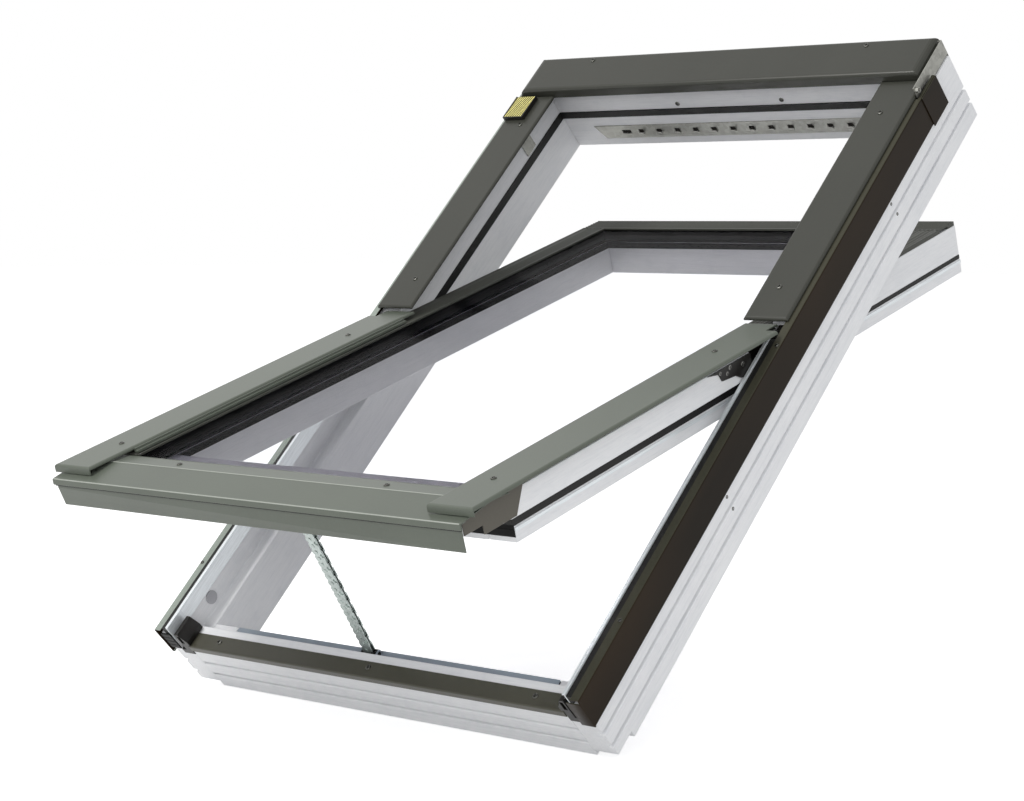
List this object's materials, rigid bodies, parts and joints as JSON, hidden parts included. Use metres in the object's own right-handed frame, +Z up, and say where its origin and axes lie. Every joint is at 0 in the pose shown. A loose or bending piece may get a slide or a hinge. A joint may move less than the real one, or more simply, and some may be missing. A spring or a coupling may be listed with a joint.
{
  "type": "roof skylight",
  "caption": "Centre-pivot roof skylight in white timber with folded grey-green metal cladding, a clear glazed sash propped open by a chain drive, and a rain sensor.",
  "frame": {"origin": "middle of the sill's lower outer face, between the two grooves", "axes": "+X across the window to the right as seen from outside, +Y level and into the room, +Z up; the roof plane rises at its pitch towards +Y"},
  "size_m": [0.792, 1.1578, 0.9421],
  "materials": {
    "timber": "white paint, satin",
    "cladding": "satin",
    "flashing": "satin",
    "galvanised": "galvanised",
    "aluminium": "satin",
    "rubber": "matt",
    "plastic": "matt",
    "plug": "matt",
    "gold": "plated",
    "steel": "zinc plated",
    "glass": "clear",
    "drive": "matt powder coat",
    "trim": "satin"
  },
  "bodies": {
    "frame": {"frame_head": "timber", "frame_sill": "timber", "frame_left_jamb": "timber", "frame_right_jamb": "timber", "frame_gasket": "rubber", "head_hood": "cladding", "left_upper_cover": "cladding", "right_upper_cover": "cladding", "left_flashing": "flashing", "right_flashing": "flashing", "left_bracket": "galvanised", "right_bracket": "galvanised", "left_strip": "aluminium", "right_strip": "aluminium", "left_strip_seal": "rubber", "right_strip_seal": "rubber", "left_corner_block": "plastic", "right_corner_block": "plastic", "sill_cover": "cladding", "vent_strip": "galvanised", "sensor_base": "plastic", "sensor_grid": "gold", "striker_clip": "galvanised", "jamb_plugs": "plug", "left_frame_hinge": "plastic", "right_frame_hinge": "plastic", "frame_clips": "plastic", "frame_screws": "steel", "drive_housing": "drive", "drive_cover": "drive", "drive_caps": "plastic", "drive_motor": "steel"},
    "sash": {"sash_top_rail": "timber", "sash_bottom_rail": "timber", "sash_left_stile": "timber", "sash_right_stile": "timber", "outer_pane": "glass", "inner_pane": "glass", "glass_spacer": "rubber", "glass_seal": "rubber", "left_trim": "trim", "right_trim": "trim", "top_trim": "trim", "sash_left_cover": "cladding", "sash_right_cover": "cladding", "sash_bottom_cover": "cladding", "sash_apron": "cladding", "left_end_plate": "flashing", "right_end_plate": "flashing", "sash_gaskets": "rubber", "drip_strips": "aluminium", "left_sash_hinge": "plastic", "right_sash_hinge": "plastic", "chain_bracket": "galvanised", "sash_clips": "plastic", "sash_screws": "steel"},
    "chain_guide": {"chain_guide": "plastic"},
    "chain": {"chain_links": "steel", "chain_end": "steel", "chain_pin": "steel"}
  },
  "joints": [
    {"name": "sash_tilt", "type": "hinge", "parent": "frame", "child": "sash", "pos_m": [0, 0.38255, 0.48013], "axis": [1, 0, 0], "range_deg": [0, 27.8]},
    {"name": "chain_tilt", "type": "hinge", "parent": "frame", "child": "chain_guide", "pos_m": [-0.028, 0.00495, 0.0601], "axis": [1, 0, 0], "range_deg": [0, 11.61]},
    {"name": "chain_extend", "type": "slide", "parent": "chain_guide", "child": "chain", "axis": [0, 0.551, -0.8345], "range_m": [0, 0.27116], "deforming": ["chain_links"]}
  ],
  "couplings": [
    {"joint": "chain_tilt", "follows": "sash_tilt", "ratio": 0.41596},
    {"joint": "chain_extend", "follows": "sash_tilt", "m_per_rad": 0.55824}
  ]
}
